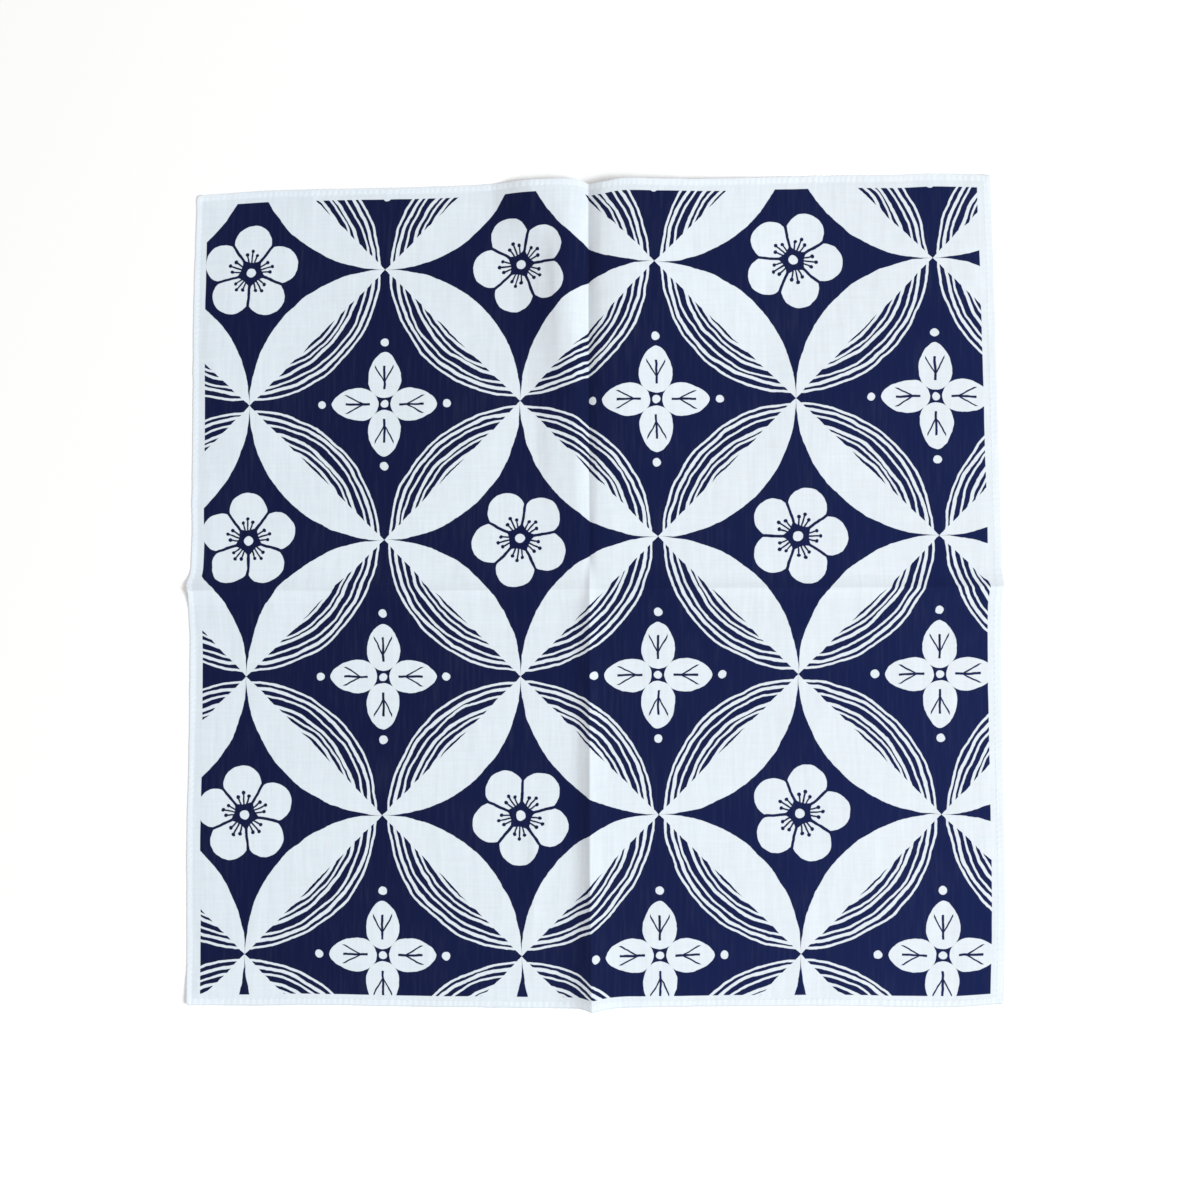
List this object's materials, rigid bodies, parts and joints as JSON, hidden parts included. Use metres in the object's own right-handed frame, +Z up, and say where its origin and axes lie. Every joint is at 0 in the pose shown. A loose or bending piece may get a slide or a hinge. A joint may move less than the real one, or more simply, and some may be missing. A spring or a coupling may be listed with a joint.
{
  "type": "bandana",
  "caption": "Square cotton bandana laid flat after a quarter fold, with raised fold lines, a narrow turned hem and a navy print inside a white margin.",
  "frame": {"origin": "middle of the cloth's outline, on the table it lies on", "axes": "+Z up out of the printed face, +Y to the edge with the furrowed fold, +X to the right-hand edge; the level fold runs along X and the upright fold along Y"},
  "size_m": [0.537, 0.5472, 0.0106],
  "materials": {
    "printed_cotton": "fine plain-weave cotton, matte, navy print on white",
    "sewing_thread": "white cotton sewing thread, matte"
  },
  "bodies": {
    "root": {"bandana_cloth": "printed_cotton"}
  },
  "joints": []
}
